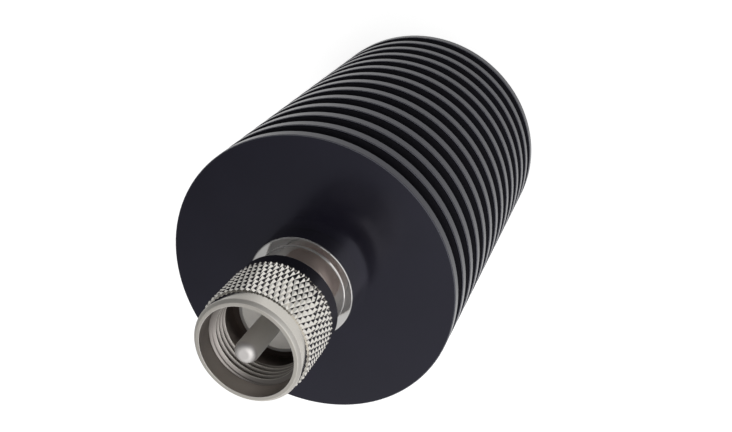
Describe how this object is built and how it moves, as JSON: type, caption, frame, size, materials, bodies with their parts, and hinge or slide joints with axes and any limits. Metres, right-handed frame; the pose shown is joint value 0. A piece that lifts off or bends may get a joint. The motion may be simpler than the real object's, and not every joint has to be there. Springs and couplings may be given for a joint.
{
  "type": "coaxial terminator",
  "caption": "Coaxial terminator with a black finned round heatsink and a male threaded connector that has a captive knurled coupling nut.",
  "frame": {"origin": "centre of the heatsink's rear face, which the part stands on", "axes": "+Z along the axis, from the rear face towards the connector"},
  "size_m": [0.053, 0.053, 0.0961],
  "materials": {
    "black_anodised": "satin black anodised, turned",
    "bright_nickel": "polished nickel plate on brass",
    "satin_nickel": "satin nickel plate on brass",
    "pin_nickel": "nickel plate on brass",
    "insulator": "matte fluoropolymer",
    "spring_steel": "bright spring steel",
    "spring_bronze": "turned bronze",
    "bare_brass": "turned brass",
    "ceramic": "glazed ceramic with a film"
  },
  "bodies": {
    "terminator": {"heatsink": "black_anodised", "connector_body": "bright_nickel", "front_insulator": "insulator", "rear_insulator": "insulator", "insulator_bush": "bare_brass", "centre_pin": "pin_nickel", "disc_spring": "spring_steel", "outer_conductor": "bare_brass", "ground_collet": "spring_bronze", "resistor_rod": "ceramic", "front_cap": "pin_nickel", "rear_cap": "pin_nickel"},
    "ring": {"retaining_ring": "spring_steel"},
    "nut": {"coupling_nut": "satin_nickel"}
  },
  "joints": [
    {"name": "nut_float", "type": "slide", "parent": "terminator", "child": "ring", "axis": [0, 0, 1], "range_m": [0, 0.0003]},
    {"name": "nut_turn", "type": "hinge", "parent": "ring", "child": "nut", "pos_m": [0, 0, 0.08227], "axis": [0, 0, 1], "continuous": true}
  ]
}
